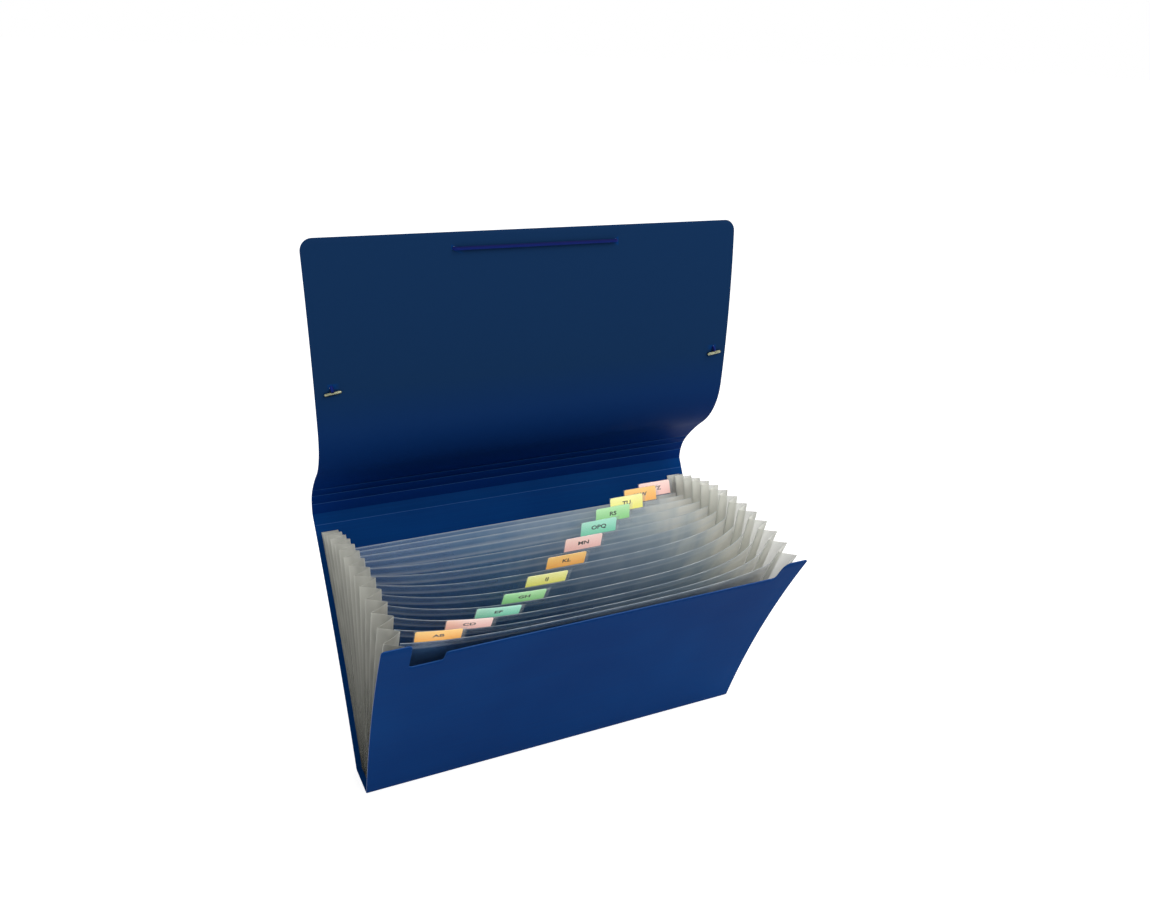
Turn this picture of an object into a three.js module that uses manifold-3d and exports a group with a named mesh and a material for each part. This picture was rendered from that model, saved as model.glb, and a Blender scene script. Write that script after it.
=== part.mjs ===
// Expanding sorting folder, standing open: a cover of thick plastic sheet, pleated film gussets, twelve
// film dividers with lettered tabs, and a lid with an elastic cord.
// Millimetres, Z up. X runs along the folder's width and the front panel faces -Y.
// The origin is on the underside, in the middle of the bottom band.

import * as THREE from 'three';
import { mergeVertices } from 'three/addons/utils/BufferGeometryUtils.js';
import Module from 'manifold-3d';

const wasm = await Module();
wasm.setup();

const degrees = THREE.MathUtils.degToRad;

// Tabs, numbered front to back: one divider for each, and one pocket more
const tabCount = 12;
const pocketCount = tabCount + 1;

// Cover sheet
const folderWidth = 350;
const bottomDepth = 32;
const coverThickness = 0.8;
const bottomFoldRadius = 1.6;
const backHeight = 218;
const frontHeight = 205;
const bottomLean = degrees(17.5);
const sheetCurlRadius = 971.1;
const sheetCurl = 1 / sheetCurlRadius;
const panelSteps = 8;

// Ears and thumb notch at the top of the front panel
const earWidth = 22;
const earRise = 20;
const earOuterCorner = 3;
const earInnerCorner = 7;
const notchWidth = 26;
const notchDepth = 10.5;
const notchCorner = 3;

// Lid: distances from the hinge, and how far the sheet leans back there
const lidLength = 246;
const lidCorner = 9;
const spineEnd = 25;
const curlEnd = 60;
const uprightFrom = 110;
const lidBends = [
  { distance: 0, lean: degrees(3) },
  { distance: spineEnd, lean: degrees(-39) },
  { distance: curlEnd, lean: degrees(-52) },
  { distance: uprightFrom, lean: degrees(-2) },
  { distance: lidLength, lean: degrees(7) },
];
const lidStep = 9;
const hingeGap = 0.3;
const scorePitch = 9.5;
const scoreCount = 3;
const scoreDepth = 0.3;
const scoreWidth = 1;

// Film of the gussets and dividers
const filmThickness = 0.3;
const clearance = 0.3;
const gussetInset = 3.7;
const gussetHeight = 202;
const pleatWidth = 16.5;
const gussetLevels = 7;
const filmFoot = 0.5;
const dividerHeight = 187;
const dividerLevels = 6;
const dividerStations = 16;

// The dividers sag forward between their ends: the deepest sag is in pockets, about two thirds of the way to
// the front, and the powers set how it fades towards the back and the front, the ends and the foot
const deepestSag = 2.1;
const sagForwardPower = 2;
const sagPower = 1.25;
const sagRise = 7;
const sagFall = 8;
const sagGrowth = 1.1;

// Tabs
const sleeveWidth = 36;
const firstTabMargin = 8.5;
const lastTabMargin = 3;
const sleeveLap = 4;
const tabRise = 14;
const cardWidth = 32.5;
const cardHeight = 12.6;
const cardThickness = 0.3;
const cardSideGap = 0.8;

// Elastic and its bars
const elasticRadius = 1.3;
const elasticSides = 8;
const bendSteps = 4;
const sideHoleFromEdge = 12.5;
const sideHoleFromLidEdge = 103;
const frontHoleFromSide = 109;
const frontHoleFromLidEdge = 11.5;
const barLength = 13;
const barWidth = 2.4;
const barThickness = 1.8;
const barTilt = degrees(7);
const barDrop = 4.4;

// Materials
const coverMaterial = new THREE.MeshStandardMaterial({ color: '#0c3468', roughness: 0.5, metalness: 0 });
const filmMaterial = new THREE.MeshStandardMaterial({ color: '#b9bab2', roughness: 0.35, metalness: 0 });
const dividerMaterial = new THREE.MeshStandardMaterial({ color: '#7f93a6', roughness: 0.3, metalness: 0 });
const sleeveMaterial = new THREE.MeshStandardMaterial({ color: '#e6ecef', roughness: 0.2, metalness: 0 });
const elasticMaterial = new THREE.MeshStandardMaterial({ color: '#12264f', roughness: 0.8, metalness: 0 });
const barMaterial = new THREE.MeshStandardMaterial({ color: '#c9bd9c', roughness: 0.3, metalness: 1 });
const cardMaterials = ['#e5af5c', '#e8b4a4', '#90cfb3', '#68b374', '#dedc7b'].map(
  (color) => new THREE.MeshStandardMaterial({ color, roughness: 0.6, metalness: 0 }),
);

const folder = new THREE.Group();

function addPiece(name, geometry, material) {
  const mesh = new THREE.Mesh(geometry, material);
  mesh.name = name;
  folder.add(mesh);
  return mesh;
}

// Solids from triangles, and cuts

function indexedGeometry(points, triangles) {
  const geometry = new THREE.BufferGeometry();
  geometry.setAttribute('position', new THREE.Float32BufferAttribute(points.flatMap((p) => [p.x, p.y, p.z]), 3));
  geometry.setIndex(triangles.flat());
  return geometry;
}

function signedVolume(points, triangles) {
  let volume = 0;
  for (const [a, b, c] of triangles) {
    volume += points[a].dot(new THREE.Vector3().crossVectors(points[b], points[c])) / 6;
  }
  return volume;
}

// A solid skinned over rings with the same number of points, closed by the same cap at both ends. A side that
// runs back along a sheet is split the other way, so that both faces of a twisted sheet stay parallel
function loft(rings, capTriangles, runsBack) {
  const count = rings[0].length;
  const points = rings.flat();
  const last = (rings.length - 1) * count;
  const triangles = [];
  for (let ring = 0; ring < rings.length - 1; ring += 1) {
    for (let corner = 0; corner < count; corner += 1) {
      const next = (corner + 1) % count;
      const a = ring * count + corner;
      const b = ring * count + next;
      if (runsBack(corner)) {
        triangles.push([a, b, a + count], [b, b + count, a + count]);
      } else {
        triangles.push([a, b, b + count], [a, b + count, a + count]);
      }
    }
  }
  for (const [a, b, c] of capTriangles) {
    triangles.push([c, b, a], [last + a, last + b, last + c]);
  }
  const outward = signedVolume(points, triangles) > 0;
  return indexedGeometry(points, outward ? triangles : triangles.map(([a, b, c]) => [a, c, b]));
}

// Cap of a ring that goes up one side of a sheet and down the other, with as many points on each
function stripCap(count) {
  const triangles = [];
  for (let low = 0; low < count / 2 - 1; low += 1) {
    const high = count - 1 - low;
    triangles.push([low, low + 1, high - 1], [low, high - 1, high]);
  }
  return triangles;
}

// Cap of any simple outline, turned the same way round as the outline
function outlineCap(outline) {
  const area = THREE.ShapeUtils.area(outline);
  return THREE.ShapeUtils.triangulateShape(outline, []).map(([a, b, c]) => {
    const turned = THREE.ShapeUtils.area([outline[a], outline[b], outline[c]]) * area < 0;
    return turned ? [a, c, b] : [a, b, c];
  });
}

function toSolid(geometry) {
  const bare = geometry.clone();
  bare.deleteAttribute('normal');
  bare.deleteAttribute('uv');
  const merged = mergeVertices(bare);
  return new wasm.Manifold(new wasm.Mesh({
    numProp: 3,
    vertProperties: new Float32Array(merged.attributes.position.array),
    triVerts: new Uint32Array(merged.index.array),
  }));
}

function fromSolid(solid) {
  const mesh = solid.getMesh();
  const geometry = new THREE.BufferGeometry();
  geometry.setAttribute('position', new THREE.BufferAttribute(mesh.vertProperties, 3));
  geometry.setIndex(new THREE.BufferAttribute(mesh.triVerts, 1));
  return geometry;
}

// A section drawn in the YZ plane and run along X, centred on X = 0
function runAlongWidth(section, width) {
  const geometry = new THREE.ExtrudeGeometry(new THREE.Shape(section), { depth: width, bevelEnabled: false });
  const alongX = new THREE.Matrix4().makeBasis(
    new THREE.Vector3(0, 1, 0),
    new THREE.Vector3(0, 0, 1),
    new THREE.Vector3(1, 0, 0),
  );
  geometry.applyMatrix4(alongX);
  geometry.translate(-width / 2, 0, 0);
  return geometry;
}

// Sheet profiles: (x, y) of a Vector2 here are Y and Z of the folder

// Where a sheet is after a length that starts at a lean and turns evenly by so much each millimetre
function bendPoint(start, lean, turn, length) {
  if (Math.abs(turn) < 1e-9) {
    return new THREE.Vector2(start.x + length * Math.sin(lean), start.y + length * Math.cos(lean));
  }
  const endLean = lean + turn * length;
  return new THREE.Vector2(
    start.x + (Math.cos(lean) - Math.cos(endLean)) / turn,
    start.y + (Math.sin(endLean) - Math.sin(lean)) / turn,
  );
}

// Outer face of the back panel (side 1) or front panel (side -1), moved inwards by depth
function panelPoint(side, distance, depth) {
  const foot = new THREE.Vector2((side * bottomDepth) / 2, 0);
  const lean = side * (bottomLean + sheetCurl * distance);
  const onFace = bendPoint(foot, side * bottomLean, side * sheetCurl, distance);
  return new THREE.Vector2(onFace.x - side * depth * Math.cos(lean), onFace.y + side * depth * Math.sin(lean));
}

const hinge = panelPoint(1, backHeight, 0);

// Lean and place of the lid's rear face at a distance from the hinge, moved inwards by depth
function lidLean(distance) {
  const next = lidBends.findIndex((bend) => bend.distance >= distance);
  const after = next < 0 ? lidBends.length - 1 : Math.max(next, 1);
  const low = lidBends[after - 1];
  const high = lidBends[after];
  return low.lean + ((high.lean - low.lean) * (distance - low.distance)) / (high.distance - low.distance);
}

function lidPoint(distance, depth) {
  let place = hinge.clone();
  for (let index = 0; index < lidBends.length - 1; index += 1) {
    const low = lidBends[index];
    const high = lidBends[index + 1];
    const isLast = index === lidBends.length - 2;
    const run = Math.max(0, (isLast ? distance : Math.min(distance, high.distance)) - low.distance);
    place = bendPoint(place, low.lean, (high.lean - low.lean) / (high.distance - low.distance), run);
  }
  const lean = lidLean(distance);
  return new THREE.Vector2(place.x - depth * Math.cos(lean), place.y + depth * Math.sin(lean));
}

// Frame on a sheet: X along the width, Y up the sheet, Z towards -Y of the folder
function sheetFrame(place, lean, x) {
  const frame = new THREE.Matrix4().makeBasis(
    new THREE.Vector3(1, 0, 0),
    new THREE.Vector3(0, Math.sin(lean), Math.cos(lean)),
    new THREE.Vector3(0, -Math.cos(lean), Math.sin(lean)),
  );
  return frame.setPosition(x, place.x, place.y);
}

function lidFrame(distance, x) {
  return sheetFrame(lidPoint(distance, 0), lidLean(distance), x);
}

function evenSteps(from, to, count) {
  return Array.from({ length: count + 1 }, (_, index) => from + ((to - from) * index) / count);
}

// Inner face of a sheet from one distance to another, with a groove at each score line
function scoredFace(point, from, to, stepCount, scores) {
  const marks = evenSteps(from, to, stepCount).map((distance) => ({ distance, depth: coverThickness }));
  for (const score of scores) {
    marks.push({ distance: score - scoreWidth / 2, depth: coverThickness });
    marks.push({ distance: score, depth: coverThickness - scoreDepth });
    marks.push({ distance: score + scoreWidth / 2, depth: coverThickness });
  }
  const inGroove = (mark) => mark.depth === coverThickness
    && scores.some((score) => Math.abs(mark.distance - score) < scoreWidth / 2 - 0.01);
  return marks
    .filter((mark) => !inGroove(mark))
    .sort((a, b) => a.distance - b.distance)
    .map((mark) => point(mark.distance, mark.depth));
}

// Arc that rounds the corner between two directions
function roundedCorner(corner, towardsFirst, towardsSecond, radius, steps) {
  const first = towardsFirst.clone().normalize();
  const second = towardsSecond.clone().normalize();
  const half = Math.acos(THREE.MathUtils.clamp(first.dot(second), -1, 1)) / 2;
  const centre = corner.clone().addScaledVector(first.clone().add(second).normalize(), radius / Math.sin(half));
  const start = corner.clone().addScaledVector(first, radius / Math.tan(half)).sub(centre);
  const end = corner.clone().addScaledVector(second, radius / Math.tan(half)).sub(centre);
  const sweep = Math.atan2(start.cross(end), start.dot(end));
  return evenSteps(0, 1, steps).map((share) => start.clone().rotateAround(new THREE.Vector2(), sweep * share).add(centre));
}

// Cover

const trimSpare = 2;

// Waste above the front panel's top edge, drawn in the sheet from the middle of its main edge
function frontWaste() {
  const side = folderWidth / 2;
  const beyond = side + trimSpare;
  const earFoot = side - earWidth;
  const notchEnd = -earFoot + notchWidth;
  const outline = new THREE.Shape();
  outline.moveTo(-beyond, earRise - earOuterCorner);
  outline.lineTo(-side, earRise - earOuterCorner);
  outline.quadraticCurveTo(-side, earRise, -side + earOuterCorner, earRise);
  outline.lineTo(-earFoot - notchCorner, earRise);
  outline.quadraticCurveTo(-earFoot, earRise, -earFoot, earRise - notchCorner);
  outline.lineTo(-earFoot, -notchDepth + notchCorner);
  outline.quadraticCurveTo(-earFoot, -notchDepth, -earFoot + notchCorner, -notchDepth);
  outline.lineTo(notchEnd - notchCorner, -notchDepth);
  outline.quadraticCurveTo(notchEnd, -notchDepth, notchEnd, -notchDepth + notchCorner);
  outline.lineTo(notchEnd, -notchCorner);
  outline.quadraticCurveTo(notchEnd, 0, notchEnd + notchCorner, 0);
  outline.lineTo(earFoot - notchCorner, 0);
  outline.quadraticCurveTo(earFoot, 0, earFoot, notchCorner);
  outline.lineTo(earFoot, earRise - earInnerCorner);
  outline.quadraticCurveTo(earFoot, earRise, earFoot + earInnerCorner, earRise);
  outline.lineTo(side - earOuterCorner, earRise);
  outline.quadraticCurveTo(side, earRise, side, earRise - earOuterCorner);
  outline.lineTo(beyond, earRise - earOuterCorner);
  outline.lineTo(beyond, earRise + 2 * trimSpare);
  outline.lineTo(-beyond, earRise + 2 * trimSpare);
  return outline;
}

function throughCut(outline, frame, segments) {
  const depth = 12 * coverThickness;
  const geometry = new THREE.ExtrudeGeometry(outline, { depth, bevelEnabled: false, curveSegments: segments });
  geometry.translate(0, 0, -depth / 2);
  geometry.applyMatrix4(frame);
  return toSolid(geometry);
}

function makeCover() {
  const innerCorner = (coverThickness * (1 - Math.sin(bottomLean))) / Math.cos(bottomLean);
  const backEnd = backHeight - hingeGap / 2;
  const frontEnd = frontHeight + trimSpare;
  const alongBack = new THREE.Vector2(Math.sin(bottomLean), Math.cos(bottomLean));
  const alongFront = new THREE.Vector2(-alongBack.x, alongBack.y);
  const backCorner = new THREE.Vector2(bottomDepth / 2, 0);
  const frontCorner = new THREE.Vector2(-bottomDepth / 2, 0);
  const toFront = new THREE.Vector2(-1, 0);
  const toBack = new THREE.Vector2(1, 0);
  const firstStep = frontHeight / panelSteps / 2;
  const outside = [
    ...evenSteps(frontEnd, firstStep, panelSteps).map((distance) => panelPoint(-1, distance, 0)),
    ...roundedCorner(frontCorner, alongFront, toBack, bottomFoldRadius, 4),
    ...roundedCorner(backCorner, toFront, alongBack, bottomFoldRadius, 4),
    ...evenSteps(firstStep, backEnd, panelSteps).map((distance) => panelPoint(1, distance, 0)),
  ];
  const back = (distance, depth) => panelPoint(1, distance, depth);
  const inside = [
    ...scoredFace(back, innerCorner, backEnd - coverThickness, panelSteps, [backHeight - scorePitch]).reverse(),
    ...evenSteps(innerCorner, frontEnd, panelSteps).map((distance) => panelPoint(-1, distance, coverThickness)),
  ];
  const sheet = toSolid(runAlongWidth([...outside, ...inside], folderWidth));
  const mainEdge = frontHeight - earRise;
  const frame = sheetFrame(panelPoint(-1, mainEdge, 0), -bottomLean - sheetCurl * mainEdge, 0);
  return fromSolid(sheet.subtract(throughCut(frontWaste(), frame, 4)));
}

addPiece('cover', makeCover(), coverMaterial);

// Lid

const sideHoleX = folderWidth / 2 - sideHoleFromEdge;
const sideHoleDistance = lidLength - sideHoleFromLidEdge;
const frontHoleX = folderWidth / 2 - frontHoleFromSide;
const frontHoleDistance = lidLength - frontHoleFromLidEdge;
const holeRadius = elasticRadius + clearance + 0.1;

// Waste past the lid's free edge, with its two round corners
function lidWaste() {
  const side = folderWidth / 2;
  const beyond = side + trimSpare;
  const outline = new THREE.Shape();
  outline.moveTo(-beyond, -lidCorner);
  outline.lineTo(-side, -lidCorner);
  outline.absarc(-side + lidCorner, -lidCorner, lidCorner, Math.PI, Math.PI / 2, true);
  outline.absarc(side - lidCorner, -lidCorner, lidCorner, Math.PI / 2, 0, true);
  outline.lineTo(beyond, -lidCorner);
  outline.lineTo(beyond, 2 * trimSpare);
  outline.lineTo(-beyond, 2 * trimSpare);
  return outline;
}

function makeLid() {
  const start = hingeGap / 2;
  const end = lidLength + trimSpare;
  const stepCount = Math.round((end - start) / lidStep);
  const scores = Array.from({ length: scoreCount }, (_, index) => (index + 1) * scorePitch);
  const outside = evenSteps(start, end, stepCount).map((distance) => lidPoint(distance, 0));
  const inside = scoredFace(lidPoint, start + coverThickness, end, stepCount, scores).reverse();
  let sheet = toSolid(runAlongWidth([...outside, ...inside], folderWidth));
  sheet = sheet.subtract(throughCut(lidWaste(), lidFrame(lidLength, 0), 8));
  const circle = new THREE.Shape().absarc(0, 0, holeRadius, 0, 2 * Math.PI, false);
  for (const side of [-1, 1]) {
    sheet = sheet.subtract(throughCut(circle, lidFrame(sideHoleDistance, side * sideHoleX), 8));
    sheet = sheet.subtract(throughCut(circle, lidFrame(frontHoleDistance, side * frontHoleX), 8));
  }
  return fromSolid(sheet);
}

addPiece('lid', makeLid(), coverMaterial);

// Film: the pockets fan out between the inner faces of the two panels, pocket 0 at the back

function fanPoint(pocket, distance) {
  const share = 1 - (2 * pocket) / pocketCount;
  const foot = new THREE.Vector2((bottomDepth / 2 - coverThickness) * share, coverThickness);
  return bendPoint(foot, bottomLean * share, sheetCurl * share, distance);
}

function pocketSpacing(distance) {
  const middle = pocketCount / 2;
  return fanPoint(middle - 0.5, distance).distanceTo(fanPoint(middle + 0.5, distance));
}

const outerFoldX = folderWidth / 2 - gussetInset;

function innerFoldX(distance) {
  return outerFoldX - Math.sqrt(pleatWidth ** 2 - (pocketSpacing(distance) / 2) ** 2);
}

// Line of the pleats at one height, in the plane of X and the distance forward from the back panel
function pleatLine(distance) {
  const spacing = pocketSpacing(distance);
  const offFace = clearance + filmThickness / 2;
  const inner = innerFoldX(distance);
  const line = [new THREE.Vector2(outerFoldX, offFace), new THREE.Vector2(inner, offFace)];
  for (let pocket = 0; pocket < pocketCount; pocket += 1) {
    const nextFold = pocket + 1 < pocketCount ? (pocket + 1) * spacing : pocketCount * spacing - offFace;
    line.push(new THREE.Vector2(outerFoldX, (pocket + 0.5) * spacing));
    line.push(new THREE.Vector2(inner, nextFold));
  }
  line.push(new THREE.Vector2(outerFoldX, pocketCount * spacing - offFace));
  return line;
}

// One face of the film along that line: two points round the outside of a fold, one inside it
function filmFace(line, side) {
  const half = filmThickness / 2;
  const across = (from, to) => {
    const along = to.clone().sub(from).normalize();
    return new THREE.Vector2(-along.y, along.x).multiplyScalar(side * half);
  };
  const face = [line[0].clone().add(across(line[0], line[1]))];
  for (let index = 1; index < line.length - 1; index += 1) {
    const before = across(line[index - 1], line[index]);
    const after = across(line[index], line[index + 1]);
    const turn = line[index].clone().sub(line[index - 1]).cross(line[index + 1].clone().sub(line[index]));
    if (turn * side < 0) {
      face.push(line[index].clone().add(before), line[index].clone().add(after));
    } else {
      const middle = before.clone().add(after).normalize();
      face.push(line[index].clone().addScaledVector(middle, (half * half) / middle.dot(before)));
    }
  }
  const end = line.length - 1;
  face.push(line[end].clone().add(across(line[end - 1], line[end])));
  return face;
}

function makeGusset(side) {
  const outlines = evenSteps(filmFoot, gussetHeight, gussetLevels).map((distance) => {
    const line = pleatLine(distance);
    return { distance, outline: [...filmFace(line, 1), ...filmFace(line, -1).reverse()] };
  });
  const rings = outlines.map(({ distance, outline }) => outline.map((corner) => {
    const place = fanPoint(corner.y / pocketSpacing(distance), distance);
    return new THREE.Vector3(side * corner.x, place.x, place.y);
  }));
  const { outline } = outlines[outlines.length - 1];
  return loft(rings, outlineCap(outline), (corner) => corner >= outline.length / 2);
}

addPiece('left_gusset', makeGusset(-1), filmMaterial);
addPiece('right_gusset', makeGusset(1), filmMaterial);

// Dividers: each hangs between two inner folds and sags forward between them

const stationShares = evenSteps(0, Math.PI, dividerStations).map((angle) => (1 - Math.cos(angle)) / 2);

function sagShape(share) {
  return (1 - (1 - share) ** sagRise) * (1 - share ** sagFall);
}

function sagAlong(forward) {
  return forward ** sagForwardPower * (1 - forward);
}

const deepestSagPlace = sagForwardPower / (sagForwardPower + 1);

// Middle of a divider at one of its stations
function stationMiddle(pocket, station, distance) {
  const share = stationShares[station];
  const forward = pocket / pocketCount;
  const depth = deepestSag * (sagAlong(forward) / sagAlong(deepestSagPlace)) ** sagPower;
  const growth = (distance / dividerHeight) ** sagGrowth;
  const place = fanPoint(pocket + depth * sagShape(share) * growth, distance);
  const halfWidth = innerFoldX(distance) - filmThickness / 2 - clearance;
  return new THREE.Vector3((2 * share - 1) * halfWidth, place.x, place.y);
}

// A point in front of that middle, square to the sheet
function stationPoint(pocket, station, distance, offset) {
  const left = stationMiddle(pocket, Math.max(0, station - 1), distance);
  const right = stationMiddle(pocket, Math.min(dividerStations, station + 1), distance);
  const low = stationMiddle(pocket, station, Math.max(0, distance - 1));
  const high = stationMiddle(pocket, station, distance + 1);
  const forward = right.sub(left).cross(high.sub(low)).normalize();
  return stationMiddle(pocket, station, distance).addScaledVector(forward, offset);
}

// The same between two stations, on the flat strip that joins them
function dividerPoint(pocket, share, distance, offset) {
  const next = Math.max(1, stationShares.findIndex((station) => station >= share - 1e-9));
  const low = stationShares[next - 1];
  const along = (share - low) / (stationShares[next] - low);
  const before = stationPoint(pocket, next - 1, distance, offset);
  return before.lerp(stationPoint(pocket, next, distance, offset), along);
}

// A section of (distance up the divider, distance in front of its middle) run along the divider
function runAlongDivider(pocket, section, shares, cap) {
  const rings = shares.map((share) => section.map(
    ([distance, offset]) => dividerPoint(pocket, share, distance, offset),
  ));
  return loft(rings, cap, (corner) => section[(corner + 1) % section.length][0] < section[corner][0]);
}

function makeDivider(pocket) {
  const half = filmThickness / 2;
  const levels = evenSteps(filmFoot, dividerHeight, dividerLevels);
  const section = [
    ...levels.map((distance) => [distance, half]),
    ...levels.toReversed().map((distance) => [distance, -half]),
  ];
  return runAlongDivider(pocket, section, stationShares, stripCap(section.length));
}

// Stations of a piece that covers part of a divider: its two ends and what lies between them
function stationsBetween(from, to) {
  const inside = stationShares.filter((share) => share > from + 0.004 && share < to - 0.004);
  const ends = [from, ...inside, to];
  const middles = ends.slice(1).map((share, index) => (share + ends[index]) / 2);
  return [...ends, ...middles].sort((a, b) => a - b);
}

const dividerWidth = 2 * (innerFoldX(dividerHeight) - filmThickness / 2 - clearance);
const tabPitch = (dividerWidth - firstTabMargin - lastTabMargin - sleeveWidth) / (tabCount - 1);
const sleeveInside = Math.max(filmThickness, cardThickness) / 2 + clearance;
const sleeveOutside = sleeveInside + filmThickness;

function makeSleeve(pocket, left) {
  const foot = dividerHeight - sleeveLap;
  const top = dividerHeight + tabRise;
  const section = [
    [foot, sleeveOutside],
    [dividerHeight, sleeveOutside],
    [top, sleeveOutside],
    [top, -sleeveOutside],
    [dividerHeight, -sleeveOutside],
    [foot, -sleeveOutside],
    [foot, -sleeveInside],
    [dividerHeight, -sleeveInside],
    [top - filmThickness, -sleeveInside],
    [top - filmThickness, sleeveInside],
    [dividerHeight, sleeveInside],
    [foot, sleeveInside],
  ];
  const shares = stationsBetween(left / dividerWidth, (left + sleeveWidth) / dividerWidth);
  return runAlongDivider(pocket, section, shares, outlineCap(section.map((corner) => new THREE.Vector2(...corner))));
}

function makeCard(pocket, left) {
  const top = dividerHeight + tabRise - filmThickness - clearance;
  const foot = Math.max(top - cardHeight, dividerHeight + clearance);
  const half = cardThickness / 2;
  const section = [[foot, half], [top, half], [top, -half], [foot, -half]];
  const start = left + cardSideGap;
  const shares = stationsBetween(start / dividerWidth, (start + cardWidth) / dividerWidth);
  return runAlongDivider(pocket, section, shares, stripCap(section.length));
}

for (let tab = 1; tab <= tabCount; tab += 1) {
  const pocket = pocketCount - tab;
  const left = firstTabMargin + (tab - 1) * tabPitch;
  addPiece(`divider_${tab}`, makeDivider(pocket), dividerMaterial);
  addPiece(`tab_sleeve_${tab}`, makeSleeve(pocket, left), sleeveMaterial);
  addPiece(`label_card_${tab}`, makeCard(pocket, left), cardMaterials[(tab - 1) % cardMaterials.length]);
}

// Elastic: from a bar inside the lid out through the side hole, across the corner behind the lid, in through
// the front hole, along inside the free edge, and the same way back on the other side

class StationRoute extends THREE.Curve {
  constructor(stations) {
    super();
    this.stations = stations;
  }

  getPoint(share, target = new THREE.Vector3()) {
    const along = THREE.MathUtils.clamp(share, 0, 1) * (this.stations.length - 1);
    const low = Math.min(Math.floor(along), this.stations.length - 2);
    return target.lerpVectors(this.stations[low], this.stations[low + 1], along - low);
  }

  getUtoTmapping(share) {
    return share;
  }
}

const offSheet = clearance + elasticRadius;
const bendRadius = coverThickness / 2 + offSheet;

// Quarter bend from running along a face to standing in the hole, in the plane of a direction on the sheet
function holeBend(frame, direction, faceSide) {
  return evenSteps(0, Math.PI / 2, bendSteps).map((angle) => {
    const along = bendRadius * (1 - Math.sin(angle));
    const across = coverThickness / 2 + faceSide * bendRadius * Math.cos(angle);
    return new THREE.Vector3(direction.x * along, direction.y * along, across).applyMatrix4(frame);
  });
}

function makeElastic() {
  const sideHole = (side) => lidFrame(sideHoleDistance, side * sideHoleX);
  const frontHole = (side) => lidFrame(frontHoleDistance, side * frontHoleX);
  const stations = [];
  for (const side of [-1, 1]) {
    const run = new THREE.Vector2(-side * (sideHoleX - frontHoleX), frontHoleDistance - sideHoleDistance).normalize();
    const back = run.clone().negate();
    const inwards = new THREE.Vector2(-side, 0);
    const down = new THREE.Vector2(Math.sin(barTilt), -Math.cos(barTilt));
    const end = new THREE.Vector3(down.x, down.y, 0).multiplyScalar(barDrop - barWidth / 2 - clearance);
    end.z = coverThickness + offSheet;
    const half = [
      end.applyMatrix4(sideHole(side)),
      ...holeBend(sideHole(side), down, 1).slice(0, -1),
      ...holeBend(sideHole(side), run, -1).reverse(),
      ...holeBend(frontHole(side), back, -1),
      ...holeBend(frontHole(side), inwards, 1).reverse().slice(1),
    ];
    stations.push(...(side < 0 ? half : half.reverse()));
  }
  const circle = new THREE.Shape().absarc(0, 0, elasticRadius, 0, 2 * Math.PI, false);
  const outline = new THREE.Shape(circle.getPoints(elasticSides / 4 * 2).slice(0, -1));
  return new THREE.ExtrudeGeometry(outline, {
    steps: stations.length - 1,
    extrudePath: new StationRoute(stations),
  });
}

addPiece('elastic', makeElastic(), elasticMaterial);

// Metal bars on the ends of the elastic
function makeBar(side) {
  const reach = barLength / 2 - barWidth / 2;
  const outline = new THREE.Shape();
  outline.absarc(reach, 0, barWidth / 2, -Math.PI / 2, Math.PI / 2, false);
  outline.absarc(-reach, 0, barWidth / 2, Math.PI / 2, (3 * Math.PI) / 2, false);
  const geometry = new THREE.ExtrudeGeometry(outline, { depth: barThickness, bevelEnabled: false, curveSegments: 6 });
  geometry.rotateZ(barTilt);
  geometry.translate(barDrop * Math.sin(barTilt), -barDrop * Math.cos(barTilt), coverThickness + clearance);
  geometry.applyMatrix4(lidFrame(sideHoleDistance, side * sideHoleX));
  return geometry;
}

addPiece('elastic_bar_left', makeBar(-1), barMaterial);
addPiece('elastic_bar_right', makeBar(1), barMaterial);

export default folder;
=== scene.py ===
import math
import bpy
from mathutils import Matrix, Vector


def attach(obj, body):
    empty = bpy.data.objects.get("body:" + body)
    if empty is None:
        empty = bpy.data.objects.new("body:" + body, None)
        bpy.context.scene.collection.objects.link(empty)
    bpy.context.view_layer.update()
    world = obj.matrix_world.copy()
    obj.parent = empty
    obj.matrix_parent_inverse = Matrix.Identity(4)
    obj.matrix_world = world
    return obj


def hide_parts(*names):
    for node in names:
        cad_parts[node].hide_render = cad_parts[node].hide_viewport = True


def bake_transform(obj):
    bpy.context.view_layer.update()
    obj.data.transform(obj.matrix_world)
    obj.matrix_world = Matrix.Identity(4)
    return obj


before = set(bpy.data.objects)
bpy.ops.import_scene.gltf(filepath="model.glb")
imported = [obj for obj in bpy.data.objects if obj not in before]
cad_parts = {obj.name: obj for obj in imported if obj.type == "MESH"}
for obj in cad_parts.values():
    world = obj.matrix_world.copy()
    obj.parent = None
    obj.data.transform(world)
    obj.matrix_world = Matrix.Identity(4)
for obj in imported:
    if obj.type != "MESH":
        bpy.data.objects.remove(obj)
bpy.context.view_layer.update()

# Expanding sorting folder, standing open on its bottom band.
# X runs along the folder, the front panel faces -Y, Z is up.
# Lengths are in millimetres until a mesh is placed.

mm = 0.001
scene = bpy.context.scene
scene.view_settings.view_transform = "Standard"


# Camera, at the angle of the picture: angles in radians, lengths in millimetres
cameraLook = {
    "turn": -0.4662,
    "tip": 0.4849,
    "roll": 0.0405,
    "distance": 778.54,
    "target": (6.859, -11.879, 185.194),
    "lens": 30.28,
    "shift": (0.0015, 0.0803),
}


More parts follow.
